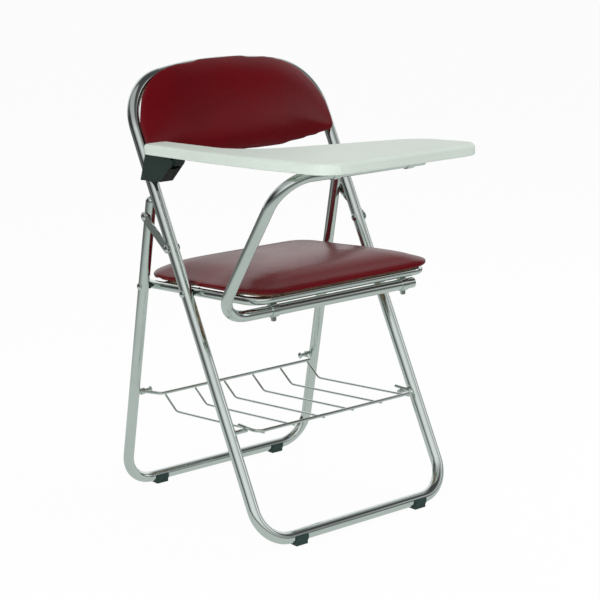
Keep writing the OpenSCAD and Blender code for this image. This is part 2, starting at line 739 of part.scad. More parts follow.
// Link straps on the outer sides of the legs
module link_strap(side) {
    color(chrome) at_chair() translate([0, link_main[0], link_main[1]]) rotate([link_angle, 0, 0])
        mirror([side < 0 ? 1 : 0, 0, 0]) difference() {
            union() {
                rod_x(link_plane, link_plane + strap_t, strap_w / 2);
                translate([0, link_len, 0]) rod_x(link_plane, link_plane + strap_t, strap_w / 2);
                translate([link_plane, 0, -strap_w / 2]) cube([strap_t, link_len, strap_w]);
            }
            for (y = [0, link_len]) translate([0, y, 0])
                rod_x(link_plane - cut_over, link_plane + strap_t + cut_over, rivet_r + running_gap);
        }
}
module link_end_rivet(side) {
    inner = half_w + rear_r + seat_gap;
    outer = link_plane + strap_t + running_gap;
    color(chrome) at_chair() translate([0, link_rear[0], link_rear[1]])
        mirror([side < 0 ? 1 : 0, 0, 0]) {
            rod_x(inner, outer, rivet_r);
            translate([outer, 0, 0]) rivet_head(rivet_head_d, rivet_head_h);
        }
}
module link_strap_right() { link_strap(-1); }
module link_strap_left() { link_strap(1); }
module link_end_rivet_right() { link_end_rivet(-1); }
module link_end_rivet_left() { link_end_rivet(1); }

// Arm tube: lower leg under the seat, elbow, leaning side and upper leg under the tablet
module arm_tube() {
    color(chrome) on_arm() {
        rod_x(-arm_side + arm_elbow_r, bar_far_end, arm_r);
        translate([-arm_side + arm_elbow_r, 0, arm_elbow_r]) tube_bend(arm_r, arm_elbow_r, 180, 90);
        translate([-arm_side, 0, 0]) rod_z(arm_elbow_r, arm_rise - arm_top_r, arm_r);
        translate([-arm_side + arm_top_r, 0, arm_rise - arm_top_r])
            tube_bend(arm_r, arm_top_r, 90, 90);
        translate([0, 0, arm_rise]) rod_x(-arm_side + arm_top_r, arm_top_end, arm_r);
    }
}
module arm_plugs() {
    color(black) on_arm() {
        translate([bar_far_end, 0, 0]) rivet_head(arm_tube_d, plug_t);
        translate([arm_top_end, 0, arm_rise]) rivet_head(arm_tube_d, plug_t);
    }
}

// Tablet: a moulded board with a rounded rim, hollow and ribbed below
tablet_corners = [[-tablet_outer_rear, tablet_rear], [-tablet_outer_waist, tablet_neck_y],
    [-tablet_outer_mid, tablet_mid_y], [-tablet_outer_front, -tablet_front],
    [tablet_inner_front, -tablet_front], [tablet_inner_front, tablet_shoulder_y],
    [-tablet_waist_x, tablet_waist_y], [-tablet_inner_rear, tablet_rear]];
tablet_radii = [tablet_end_r, tablet_side_r, tablet_side_r, tablet_outer_r, tablet_tip_r,
    tablet_inner_r, tablet_waist_r, tablet_end_r];
tablet_arcs = rounded(tablet_corners, tablet_radii, tablet_arc_steps);
// Both sides are read at the same rows, so that straight rungs close the top and the bottom
tablet_half = len(tablet_arcs) / 2;
tablet_outer_side = [for (i = [0:tablet_half - 1]) [tablet_arcs[i][1], tablet_arcs[i][0]]];
tablet_inner_side = [for (i = [tablet_half:2 * tablet_half - 1]) [tablet_arcs[i][1], tablet_arcs[i][0]]];
tablet_rows = spaced(sorted([for (p = tablet_arcs) p[1]]), tablet_row_gap);
tablet_outline = concat(
    [for (y = tablet_rows) [lookup(y, tablet_inner_side), y]],
    [for (i = [len(tablet_rows) - 1:-1:0]) [lookup(tablet_rows[i], tablet_outer_side), tablet_rows[i]]]);
module tablet_solid() {
    skin(concat(
        [for (a = [0:45:90]) lifted(inset(tablet_outline, tablet_foot_round * (1 - sin(a))),
            tablet_foot_round * (1 - cos(a)))],
        [for (a = [0:22.5:90]) lifted(inset(tablet_outline, tablet_top_round * (1 - cos(a))),
            tablet_t - tablet_top_round * (1 - sin(a)))]));
}
module tablet_ribs() {
    rib_base = tablet_t - tablet_wall - tablet_rib_h;
    for (y = [-tablet_front + tablet_rib_pitch / 2:tablet_rib_pitch:tablet_rear])
        translate([-tablet_outer_front, y, rib_base])
            cube([tablet_outer_front + tablet_inner_front, tablet_rib_t, tablet_rib_h + weld_sink]);
    for (x = [-tablet_outer_front + tablet_rib_pitch:tablet_rib_pitch:tablet_inner_front])
        translate([x, -tablet_front, rib_base])
            cube([tablet_rib_t, tablet_front + tablet_rear, tablet_rib_h + weld_sink]);
}
module tablet_pads() {
    for (x = [tablet_saddle_near, tablet_saddle_far])
        translate([x - tablet_pad_w / 2, -arm_tube_d - saddle_flange, 0])
            cube([tablet_pad_w, 2 * (arm_tube_d + saddle_flange), tablet_t - weld_sink]);
    translate([-half_w - lug_w / 2, lug_pin_y - lug_base_len / 2, 0])
        cube([2 * lug_w, lug_base_len, tablet_t - weld_sink]);
}
module tablet_screw_places() {
    for (x = [tablet_saddle_near, tablet_saddle_far], side = [-1, 1])
        translate([x, side * (arm_r + saddle_t + saddle_flange / 2), 0]) children();
    for (side = [-1, 1])
        translate([-half_w, lug_pin_y + side * (lug_base_len / 2 - screw_grip), 0]) children();
}
module tablet_board() {
    cavity = inset(tablet_outline, tablet_wall);
    color(pale) on_tablet() difference() {
        union() {
            difference() {
                tablet_solid();
                translate([0, 0, -cut_over]) linear_extrude(tablet_t - tablet_wall + cut_over)
                    polygon(cavity);
            }
            intersection() {
                union() {
                    tablet_ribs();
                    tablet_pads();
                }
                linear_extrude(tablet_t - tablet_wall + weld_sink)
                    polygon(inset(tablet_outline, tablet_wall - weld_sink));
            }
        }
        tablet_screw_places() rod_z(-cut_over, tablet_t - tablet_wall, screw_d / 2 + running_gap);
    }
}
// Saddles under the tablet, in which the upper leg of the arm tube turns
module tablet_saddles() {
    wide = arm_r + saddle_t;
    color(chrome) on_tablet() for (x = [tablet_saddle_near, tablet_saddle_far])
        translate([x - saddle_len / 2, 0, 0]) difference() {
            union() {
                translate([0, 0, -tablet_rise]) rod_x(0, saddle_len, wide);
                translate([0, -wide, -tablet_rise]) cube([saddle_len, 2 * wide, tablet_rise]);
                translate([0, -wide - saddle_flange, -saddle_t])
                    cube([saddle_len, 2 * (wide + saddle_flange), saddle_t]);
            }
            translate([0, 0, -tablet_rise]) rod_x(-cut_over, saddle_len + cut_over, arm_r + running_gap);
            translate([-cut_over, -arm_r - running_gap, -tablet_rise])
                cube([saddle_len + 2 * cut_over, 2 * (arm_r + running_gap), tablet_rise + cut_over]);
            for (side = [-1, 1])
                translate([saddle_len / 2, side * (arm_r + saddle_t + saddle_flange / 2), 0])
                    rod_z(-saddle_t - cut_over, cut_over, screw_d / 2 + running_gap);
        }
}
module tablet_screws() {
    color(chrome) on_tablet() tablet_screw_places() translate([0, 0, -saddle_t]) screw_up(tablet_t / 2);
}
// Lug under the tablet's rear end, with the pin that lies in the bracket
module tablet_lug() {
    color(black) on_tablet() translate([-half_w - lug_w / 2, lug_pin_y, 0]) difference() {
        union() {
            translate([0, -lug_base_len / 2, -saddle_t]) cube([lug_w, lug_base_len, saddle_t]);
            translate([0, 0, lug_pin_z]) rod_x(0, lug_w, lug_eye_r);
            translate([0, -lug_eye_r, lug_pin_z]) cube([lug_w, 2 * lug_eye_r, -lug_pin_z]);
        }
        translate([0, 0, lug_pin_z]) rod_x(-cut_over, lug_w + cut_over, lug_pin_r + running_gap);
        for (side = [-1, 1]) translate([lug_w / 2, side * (lug_base_len / 2 - screw_grip), 0])
            rod_z(-lug_eye_r, cut_over, screw_d / 2 + running_gap);
    }
}
module tablet_pin() {
    color(chrome) on_tablet() translate([-half_w, lug_pin_y, lug_pin_z])
        rod_x(-bracket_w / 2, bracket_w / 2, lug_pin_r);
}

// Moulded bracket on the right main leg: a wedge bored for the leg, with two cheeks that are
// notched for the tablet's pin
module side_plate(x1, x2, pts) {
    translate([x1, 0, 0]) rotate([90, 0, 90]) linear_extrude(x2 - x1) polygon(pts);
}
module bracket_gusset() {
    side_plate(-bracket_w / 2, bracket_w / 2, [[-bracket_nose, -bracket_top_gap],
        [bracket_foot_y, -bracket_depth], [bracket_heel_y, -bracket_depth],
        [bracket_top_y, -bracket_top_gap]]);
}
module bracket_cavity() {
    inner = bracket_w / 2 - bracket_wall;
    lip = lug_pin_z - bracket_lip;
    low = bracket_floor_t - bracket_depth;
    slope_share = (bracket_nose + bracket_foot_y) / (bracket_depth - bracket_top_gap);
    side_plate(-inner, inner, [[-2 * bracket_nose, cut_over], [-2 * bracket_nose, lip],
        [-bracket_nose - (lip + bracket_top_gap) * slope_share + bracket_floor_run, lip],
        [-bracket_nose - (low + bracket_top_gap) * slope_share + bracket_floor_run, low],
        [bracket_block_y, low], [bracket_block_y, cut_over]]);
}
module bracket_notch() {
    r = lug_pin_r + running_gap / 2;
    up = [-cos(notch_high_turn), sin(notch_high_turn)];
    down = [-cos(notch_low_turn), sin(notch_low_turn)];
    far = bracket_nose + bracket_depth;
    translate([0, 0, lug_pin_z]) {
        rod_x(-bracket_w, bracket_w, lug_pin_r + running_gap);
        side_plate(-bracket_w, bracket_w, [r * [up[1], -up[0]], r * [up[1], -up[0]] + far * up,
            r * [-down[1], down[0]] + far * down, r * [-down[1], down[0]]]);
    }
}
module arm_bracket() {
    color(black) difference() {
        on_tablet() translate([-half_w, lug_pin_y, 0]) difference() {
            bracket_gusset();
            bracket_cavity();
            bracket_notch();
        }
        on_main() translate([-half_w, 0, 0])
            rod_z(bracket_screw_up - bracket_heel_y, bracket_screw_up + bracket_heel_y,
                main_r + running_gap);
    }
}
module bracket_screws() {
    color(black) on_main() for (side = [-1, 1])
        translate([-half_w + side * (bracket_w / 2 + seat_gap), 0, bracket_screw_up])
            mirror([side < 0 ? 1 : 0, 0, 0]) rivet_head(screw_head_d, screw_head_h);
}

// Book rack: a U-shaped front wire, a back wire with cranked ends, and dipped shelf wires
rack_back_y = rack_pin_y - rack_back_in;
rack_eye_x = half_w - rear_r - rack_eye_len;
rack_side_x = half_w - rack_side_in;
rack_wire_span = 2 * (rack_side_x - rack_corner_r);
module rack_front_wire() {
    color(chrome) at_chair() translate([0, 0, rack_height]) {
        translate([0, rack_front_y, 0])
            rod_x(-rack_side_x + rack_corner_r, rack_side_x - rack_corner_r, rack_wire_r);
        both_sides() {
            translate([rack_side_x - rack_corner_r, rack_front_y + rack_corner_r, 0])
                flat_bend(rack_wire_r, rack_corner_r, -90, 90);
            translate([rack_side_x, 0, 0]) rotate([-90, 0, 0])
                rod_z(rack_front_y + rack_corner_r, rest_pin_y + rack_tail, rack_wire_r);
            translate([rack_side_x, rest_pin_y + rack_tail, 0]) sphere(r = rack_wire_r);
        }
    }
}
module rack_back_wire() {
    run = rack_pin_y - rack_back_y;
    side = rack_eye_x - rack_wire_span / 2 - rack_wire_bend_r;
    crank = atan2(run, side);
    cut = rack_wire_bend_r * tan(crank / 2);
    reach = norm([run, side]) - rack_pin_r - rack_eye_wall / 2;
    color(chrome) at_chair() difference() {
        translate([0, rack_back_y, rack_height]) {
            rod_x(-rack_wire_span / 2 - rack_wire_bend_r + cut,
                rack_wire_span / 2 + rack_wire_bend_r - cut, rack_wire_r);
            both_sides() translate([rack_wire_span / 2 + rack_wire_bend_r, 0, 0]) {
                translate([-cut, rack_wire_bend_r, 0])
                    flat_bend(rack_wire_r, rack_wire_bend_r, -90, crank);
                rotate([0, 0, crank]) rod_x(cut, reach, rack_wire_r);
            }
        }
        translate([0, rack_pin_y, rack_height])
            rod_x(-half_w, half_w, rack_pin_r + rack_eye_wall + running_gap);
    }
}
module rack_eyes() {
    color(chrome) at_chair() both_sides() translate([0, rack_pin_y, rack_height]) difference() {
        rod_x(rack_eye_x - rack_eye_len / 2, rack_eye_x + rack_eye_len / 2, rack_pin_r + rack_eye_wall);
        rod_x(rack_eye_x - rack_eye_len, rack_eye_x + rack_eye_len, rack_pin_r + running_gap);
    }
}
// A shelf wire drops behind, bends and rises gently towards the front
module shelf_wire() {
    weld = rack_wire_r + shelf_wire_r - weld_sink;
    run = rack_back_y - rack_drop_run - rack_front_y;
    rise = rack_drop - weld;
    fall_turn = atan2(rise, rack_drop_run);
    rise_turn = atan2(rise, run);
    cut = shelf_bend_r * tan((fall_turn + rise_turn) / 2);
    translate([0, rack_back_y - rack_drop_run, -rack_drop]) {
        rotate([fall_turn, 0, 0]) rotate([-90, 0, 0])
            rod_z(cut, norm([rise, rack_drop_run]), shelf_wire_r);
        rotate([-rise_turn, 0, 0]) rotate([90, 0, 0]) rod_z(cut, norm([rise, run]), shelf_wire_r);
        translate([0, -cut * cos(rise_turn) + shelf_bend_r * sin(rise_turn),
            cut * sin(rise_turn) + shelf_bend_r * cos(rise_turn)])
            side_bend(shelf_wire_r, shelf_bend_r, -90 - rise_turn, fall_turn + rise_turn);
    }
}
module rack_shelf_wires() {
    $fn = wire_sides;
    color(chrome) at_chair() translate([0, 0, rack_height]) for (i = [0:shelf_wire_count - 1])
        translate([rack_wire_span * (2 * i / (shelf_wire_count - 1) - 1) / 2, 0, 0]) shelf_wire();
}

main_frame();
front_feet();
rack_rest_pins();
seat_pivot_rivets();
link_pivot_rivets();
back_board();
back_pad();
back_screws();
arm_bracket();
bracket_screws();
seat_frame();
seat_board();
seat_pad();
seat_screws();
seat_pivot_washers();
bar_saddles();
saddle_screws();
rear_pivot_rivets();
rear_pivot_washers();
rear_frame();
rear_leg_caps();
rear_feet();
rack_pivot_pins();
link_strap_right();
link_end_rivet_right();
link_strap_left();
link_end_rivet_left();
arm_tube();
arm_plugs();
tablet_board();
tablet_saddles();
tablet_screws();
tablet_lug();
tablet_pin();
rack_front_wire();
rack_back_wire();
rack_shelf_wires();
rack_eyes();
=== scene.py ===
"""Looks of a folding lecture chair: chromed tube frame, red vinyl cushions, pale writing tablet."""

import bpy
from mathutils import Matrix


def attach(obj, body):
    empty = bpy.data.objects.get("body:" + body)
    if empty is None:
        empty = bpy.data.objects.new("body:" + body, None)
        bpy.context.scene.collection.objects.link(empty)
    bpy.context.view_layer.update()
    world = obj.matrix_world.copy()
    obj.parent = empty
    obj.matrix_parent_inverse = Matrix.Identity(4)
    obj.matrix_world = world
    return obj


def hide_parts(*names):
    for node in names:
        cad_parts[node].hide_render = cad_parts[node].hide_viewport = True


bl_info = {
    "name": "Folding Lecture Chair",
    "version": (1, 0, 0),
    "blender": (4, 5, 0),
    "location": "3D View > Sidebar > Chair",
    "description": "Dresses the chair's frame with cushions, finishes, studio and camera",
    "category": "Object",
}

import math

import bpy
import numpy as np
from mathutils import Vector

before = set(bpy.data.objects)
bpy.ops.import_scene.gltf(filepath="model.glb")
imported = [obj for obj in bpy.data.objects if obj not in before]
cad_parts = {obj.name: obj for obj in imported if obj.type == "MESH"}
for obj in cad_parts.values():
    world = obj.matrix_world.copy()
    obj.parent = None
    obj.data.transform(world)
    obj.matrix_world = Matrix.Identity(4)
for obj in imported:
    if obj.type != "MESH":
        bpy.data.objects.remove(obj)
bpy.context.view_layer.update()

# The photograph's frame in pixels, and the view that was fitted to it
PHOTO_WIDTH = 600
FOCAL_PIXELS = 1822.5
SENSOR_WIDTH = 36.0
CAMERA_PLACE = (-2.0608, -2.4501, 1.2079)
CAMERA_PITCH = math.radians(14.02)
CAMERA_YAW = math.radians(39.7)

CHROME_NODES = (
    "main_frame", "rack_rest_pins", "seat_pivot_rivets", "link_pivot_rivets", "back_screws",
    "seat_frame", "seat_screws", "bar_saddles", "saddle_screws",
    "rear_pivot_rivets", "rear_frame", "rear_leg_caps", "rack_pivot_pins", "link_strap_right",
    "link_end_rivet_right", "link_strap_left", "link_end_rivet_left", "arm_tube",
    "tablet_saddles", "tablet_screws", "rack_front_wire", "rack_back_wire",
    "rack_shelf_wires", "rack_eyes",
)
RUBBER_NODES = ("front_feet", "rear_feet")
BLACK_NODES = (
    "arm_bracket", "bracket_screws", "arm_plugs", "tablet_lug", "tablet_pin",
    "seat_pivot_washers", "rear_pivot_washers",
)
BOARD_NODES = ("back_board", "seat_board")

# How a cushion's mesh is merged, smoothed and blown up as cloth
MERGE_REACH = 0.00005
SMOOTH_FACTOR = 0.5
ROUNDS_REMESHED = 10
ROUNDS_WRAPPED = 4
ROUNDS_RIM = 40
ROUNDS_PUFFED = 16
CLOTH_FRAMES = 20
CLOTH_PRESSURE = 4.0
CLOTH_QUALITY = 5
TINY = 1e-9

# The studio in metres: each lamp's place, size and the setting that holds its power
WHITE = (1.0, 1.0, 1.0, 1.0)
LAMP_AIM = (0.0, 0.0, 0.45)
LAMPS = (
    ("key_lamp", (-2.6, -3.0, 1.9), 2.2, "key_power"),
    ("side_lamp", (-3.4, -0.4, 1.5), 2.0, "side_power"),
    ("fill_lamp", (2.8, -1.2, 2.2), 2.6, "fill_power"),
    ("top_lamp", (0.4, 0.5, 3.0), 2.4, "top_power"),
)
FLOOR_SIDES = 96
FLOOR_DROP = 0.0002
SWEEP_FADE = (0.8, 2.6)
SWEEP_END_SHARE = 0.25
VIEW_END = 200.0


class Socket:
    """A shader value whose operators add Math nodes, or a colour that is passed on."""

    def __init__(self, maker, link):
        self.maker = maker
        self.link = link

    def _math(self, operation, *values):
        return self.maker.node("ShaderNodeMath", {"operation": operation}, dict(enumerate(values)))

    def __add__(self, other):
        return self._math("ADD", self, other)

    def __radd__(self, other):
        return self._math("ADD", other, self)

    def __sub__(self, other):
        return self._math("SUBTRACT", self, other)

    def __rsub__(self, other):
        return self._math("SUBTRACT", other, self)

    def __mul__(self, other):
        return self._math("MULTIPLY", self, other)

    def __rmul__(self, other):
        return self._math("MULTIPLY", other, self)

    def smooth(self, low, high):
        """0 below low, 1 above high and a soft step between."""
        settings = {"interpolation_type": "SMOOTHSTEP"}
        return self.maker.node("ShaderNodeMapRange", settings, {0: self, 1: low, 2: high})


class Nodes:
    """A node tree with one method that adds any node with its settings and values."""

    def __init__(self, tree):
        self.tree = tree

    def put(self, target, value):
        if isinstance(value, Socket):
            self.tree.links.new(value.link, target)
        else:
            target.default_value = value

    def node(self, kind, settings=None, values=None, out=0):
        made = self.tree.nodes.new(kind)
        for key, value in (settings or {}).items():
            setattr(made, key, value)
        for key, value in (values or {}).items():
            self.put(made.inputs[key], value)
        return Socket(self, made.outputs[out])

    def mix(self, factor, first, second):
        values = {"Factor": factor, 6: first, 7: second}
        return self.node("ShaderNodeMix", {"data_type": "RGBA"}, values, out=2)

    def ray(self, kind):
        return self.node("ShaderNodeLightPath", out=kind)


class Finish(Nodes):
    """A new material with its Principled shader."""

    def __init__(self, name):
        self.material = bpy.data.materials.new(name)
        self.material.use_nodes = True
        super().__init__(self.material.node_tree)
        self.shader = self.tree.nodes["Principled BSDF"]
        self.coords = self.node("ShaderNodeTexCoord", out="Object")

    def noise(self, scale, detail, roughness, distortion=0.0):
        values = {
            "Vector": self.coords, "Scale": scale, "Detail": detail,
            "Roughness": roughness, "Distortion": distortion,
        }
        return self.node("ShaderNodeTexNoise", None, values)

    def cells(self, scale, feature="F1"):
        values = {"Vector": self.coords, "Scale": scale}
        return self.node("ShaderNodeTexVoronoi", {"feature": feature}, values)

    def bump(self, height, distance, strength):
        values = {"Height": height, "Distance": distance, "Strength": strength}
        return self.node("ShaderNodeBump", None, values)

    def set(self, **sockets):
        """Fills the shader's sockets, whose names are written with _ for a space."""
        for key, value in sockets.items():
            self.put(self.shader.inputs[key.replace("_", " ")], value)
        return self.material


def rgba(colour):
    return (colour[0], colour[1], colour[2], 1.0)


def shade(colour, factor):
    """The same colour, darker under 1 and lighter over 1."""
    return rgba([part * factor for part in colour])


def deselect():
    for item in bpy.context.selected_objects:
        item.select_set(False)


def give(material, *names):
    """Puts a material on CAD nodes."""
    for name in names:
        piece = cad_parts[name]
        if not piece.material_slots:
            piece.data.materials.append(material)
        for slot in piece.material_slots:
            slot.link = "OBJECT"
            slot.material = material


def chrome_finish(colour):
    """Bright plate with faint smudges and a little haze."""
    look = Finish("chrome_plate")
    smudge = look.noise(scale=14.0, detail=4.0, roughness=0.6).smooth(0.42, 0.72)
    streak = look.noise(scale=160.0, detail=2.0, roughness=0.5)
    pits = look.noise(scale=900.0, detail=2.0, roughness=0.6)
    return look.set(
        Base_Color=look.mix(smudge, rgba(colour), shade(colour, 0.94)), Metallic=1.0,
        Roughness=0.08 + smudge * 0.05 + streak * 0.02,
        Normal=look.bump(pits, distance=0.00001, strength=0.35),
    )


def vinyl_finish(colour):
    """Cushion cover with a fine pressed graining, and painted shade darkening the creases between
    its cells.
    """
    look = Finish("red_vinyl")
    grain_and_crease_shade = look.cells(scale=950.0, feature="SMOOTH_F1")
    pores = look.noise(scale=2600.0, detail=2.0, roughness=0.5)
    cloud = look.noise(scale=9.0, detail=3.0, roughness=0.5).smooth(0.35, 0.7)
    tone = look.mix(cloud, rgba(colour), shade(colour, 0.82))
    # Painted shade: the creases between the pressed cells are darkened as though shade fell in
    # them.
    tone = look.mix(grain_and_crease_shade.smooth(0.45, 0.8) * 0.35, tone, shade(colour, 0.55))
    relief = grain_and_crease_shade * 0.8 + pores * 0.2
    return look.set(
        Base_Color=tone, Roughness=0.23 + cloud * 0.04 + grain_and_crease_shade * 0.05,
        Normal=look.bump(relief, distance=0.00012, strength=0.55), Specular_IOR_Level=0.25,
    )


def tablet_finish(colour):
    """Pale moulding with a stippled face and light scuffs."""
    look = Finish("pale_moulding")
    stipple = look.noise(scale=1500.0, detail=2.0, roughness=0.6)
    cloud = look.noise(scale=6.0, detail=3.0, roughness=0.5).smooth(0.3, 0.75)
    scuff = look.noise(scale=60.0, detail=5.0, roughness=0.7, distortion=0.6).smooth(0.62, 0.78)
    tone = look.mix(cloud, rgba(colour), shade(colour, 0.95))
    tone = look.mix(scuff * 0.25, tone, shade(colour, 0.85))
    return look.set(
        Base_Color=tone, Roughness=0.42 + scuff * 0.12 + stipple * 0.05,
        Normal=look.bump(stipple, distance=0.00008, strength=0.4),
    )


def rubber_finish(colour):
    """Dull rubber with dust on it."""
    look = Finish("foot_rubber")
    dust = look.noise(scale=45.0, detail=5.0, roughness=0.65).smooth(0.45, 0.8)
    fine = look.noise(scale=1400.0, detail=3.0, roughness=0.6)
    return look.set(
        Base_Color=look.mix(dust * 0.4, rgba(colour), shade(colour, 2.5)),
        Roughness=0.62 + dust * 0.2, Normal=look.bump(fine, distance=0.00012, strength=0.5),
    )


def black_finish(colour):
    """Black moulding with a stippled face, worn a little lighter in places."""
    look = Finish("black_moulding")
    stipple = look.noise(scale=1700.0, detail=2.0, roughness=0.5)
    wear = look.noise(scale=70.0, detail=4.0, roughness=0.6).smooth(0.58, 0.8)
    return look.set(
        Base_Color=look.mix(wear * 0.4, rgba(colour), shade(colour, 2.5)),
        Roughness=0.38 + wear * 0.15, Normal=look.bump(stipple, distance=0.0001, strength=0.45),
    )


def board_finish(colour):
    """Pressed board of chips and fibres."""
    look = Finish("pressed_board")
    chips = look.cells(scale=220.0)
    fibre = look.noise(scale=380.0, detail=4.0, roughness=0.7)
    return look.set(
        Base_Color=look.mix(chips.smooth(0.1, 0.9), rgba(colour), shade(colour, 0.6)),
        Roughness=0.75 + fibre * 0.12, Normal=look.bump(fibre, distance=0.0002, strength=0.5),
    )


def floor_finish(colour, mirrored_colour, white_share):
    """A white floor: the camera sees it nearly plain white, mirrors see a pale sweep that ends."""
    look = Finish("studio_floor")
    look.set(Base_Color=rgba(colour), Roughness=0.9, Specular_IOR_Level=0.1)
    mirrored = look.ray("Is Glossy Ray") + look.ray("Is Transmission Ray")
    away = look.node("ShaderNodeVectorMath", {"operation": "LENGTH"}, {0: look.coords}, out=1)
    fade = away.smooth(*SWEEP_FADE)
    pale = look.mix(fade, rgba(mirrored_colour), shade(mirrored_colour, SWEEP_END_SHARE))
    tone = look.mix(mirrored, WHITE, pale)
    glow = look.node("ShaderNodeEmission", None, {"Color": tone})
    share = (look.ray("Is Camera Ray") + mirrored) * white_share
    plain = Socket(look, look.shader.outputs[0])
    blend = look.node("ShaderNodeMixShader", None, {0: share, 1: plain, 2: glow})
    look.put(look.tree.nodes["Material Output"].inputs["Surface"], blend)
    return look.material


def copy_of(node, name):
    """A loose copy of a CAD node's mesh with its doubled points merged."""
    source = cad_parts[node]
    made = bpy.data.objects.new(name, source.data.copy())
    bpy.context.scene.collection.objects.link(made)
    made.data.materials.clear()
    deselect()
    bpy.context.view_layer.objects.active = made
    made.select_set(True)
    bpy.ops.object.mode_set(mode="EDIT")
    bpy.ops.mesh.select_all(action="SELECT")
    bpy.ops.mesh.remove_doubles(threshold=MERGE_REACH)
    bpy.ops.mesh.normals_make_consistent(inside=False)
    bpy.ops.object.mode_set(mode="OBJECT")
    return made


def points_of(item):
    flat = np.zeros(len(item.data.vertices) * 3)
    item.data.vertices.foreach_get("co", flat)
    return flat.reshape(-1, 3)


def move_points(item, points):
    item.data.vertices.foreach_set("co", points.ravel())
    item.data.update()


def apply_modifier(item, kind, **settings):
    modifier = item.modifiers.new(kind.lower(), kind)
    for key, value in settings.items():
        setattr(modifier, key, value)
    bpy.context.view_layer.objects.active = item
    bpy.ops.object.modifier_apply(modifier=modifier.name)


def mark(item, name, chosen):
    """A vertex group of the chosen points."""
    group = item.vertex_groups.new(name=name)
    group.add([int(i) for i in np.nonzero(chosen)[0]], 1.0, "REPLACE")


def evened(item, values, rounds):
    """Each point's value averaged with its neighbours' again and again, which takes out creases."""
    ends = np.zeros(len(item.data.edges) * 2, dtype=np.int32)
    item.data.edges.foreach_get("vertices", ends)
    ends = ends.reshape(-1, 2)
    count = np.bincount(ends.ravel(), minlength=len(values))[:, None]
    for _ in range(rounds):
        total = np.zeros_like(values)
        np.add.at(total, ends[:, 0], values[ends[:, 1]])
        np.add.at(total, ends[:, 1], values[ends[:, 0]])
        values = (values + total / count) / 2
    return values


def smooth_points(item, rounds, group=""):
    apply_modifier(item, "SMOOTH", factor=SMOOTH_FACTOR, iterations=rounds, vertex_group=group)


def puff(item, reach, rounds):
    """Blows the cushion up a little as cloth, with its held points pinned, and caps each move."""
    start = points_of(item)
    cloth = item.modifiers.new("cloth", "CLOTH")
    cloth.settings.quality = CLOTH_QUALITY
    cloth.settings.use_pressure = True
    cloth.settings.uniform_pressure_force = CLOTH_PRESSURE
    cloth.settings.vertex_group_mass = "held"
    cloth.settings.effector_weights.gravity = 0.0
    cloth.collision_settings.use_collision = False
    scene = bpy.context.scene
    for number in range(1, CLOTH_FRAMES + 1):
        scene.frame_set(number)
    graph = bpy.context.evaluated_depsgraph_get()
    shaped = item.evaluated_get(graph)
    moved = np.zeros(len(shaped.data.vertices) * 3)
    shaped.data.vertices.foreach_get("co", moved)
    step = moved.reshape(-1, 3) - start
    item.modifiers.remove(cloth)
    scene.frame_set(1)
    length = np.linalg.norm(step, axis=1, keepdims=True)
    step *= reach * np.tanh(length / reach) / np.maximum(length, TINY)
    move_points(item, start + evened(item, step, rounds))


class CushionSizes(bpy.types.PropertyGroup):
    """Sizes of the two cushions."""

    voxel: bpy.props.FloatProperty(
        name="Voxel", description="Mesh size of the cushions", default=0.004, min=0.003,
        max=0.008, unit="LENGTH")
    hem: bpy.props.FloatProperty(
        name="Hem", description="Height over which the cover stays tight on its board",
        default=0.004, min=0.0, max=0.01, unit="LENGTH")
    rim: bpy.props.FloatProperty(
        name="Rim", description="Height over which the cover is drawn round its edge",
        default=0.010, min=0.0, max=0.02, unit="LENGTH")
    evening: bpy.props.IntProperty(
        name="Evening", description="Rounds that take the creases out of the cover",
        default=40, min=0, max=200)
    seat_swell: bpy.props.FloatProperty(
        name="Seat swell", description="Most that the seat cushion swells", default=0.006,
        min=0.0, max=0.02, unit="LENGTH")
    back_swell: bpy.props.FloatProperty(
        name="Back swell", description="Most that the back cushion swells", default=0.006,
        min=0.0, max=0.02, unit="LENGTH")
    seat_stand_out: bpy.props.FloatProperty(
        name="Seat stand-out", description="How far the seat cushion's rim stands over its pad",
        default=0.0, min=0.0, max=0.005, unit="LENGTH")
    back_stand_out: bpy.props.FloatProperty(
        name="Back stand-out", description="How far the back cushion's rim stands over its pad",
        default=0.0015, min=0.0, max=0.005, unit="LENGTH")


class ChairColours(bpy.types.PropertyGroup):
    """Colours of the chair's finishes."""

    vinyl: bpy.props.FloatVectorProperty(
        name="Vinyl", description="Cushion covers", subtype="COLOR", size=3,
        default=(0.102, 0.0002, 0.0030))
    chrome: bpy.props.FloatVectorProperty(
        name="Chrome", description="Tubes, wires and rivets", subtype="COLOR", size=3,
        default=(0.70, 0.77, 0.74))
    tablet: bpy.props.FloatVectorProperty(
        name="Tablet", description="Moulded writing tablet", subtype="COLOR", size=3,
        default=(0.58, 0.65, 0.59))
    black: bpy.props.FloatVectorProperty(
        name="Black", description="Moulded bracket, plugs, washers and hinge pin",
        subtype="COLOR", size=3, default=(0.014, 0.026, 0.022))
    rubber: bpy.props.FloatVectorProperty(
        name="Rubber", description="Feet", subtype="COLOR", size=3,
        default=(0.012, 0.034, 0.030))
    board: bpy.props.FloatVectorProperty(
        name="Board", description="Boards behind the cushions", subtype="COLOR", size=3,
        default=(0.30, 0.20, 0.11))


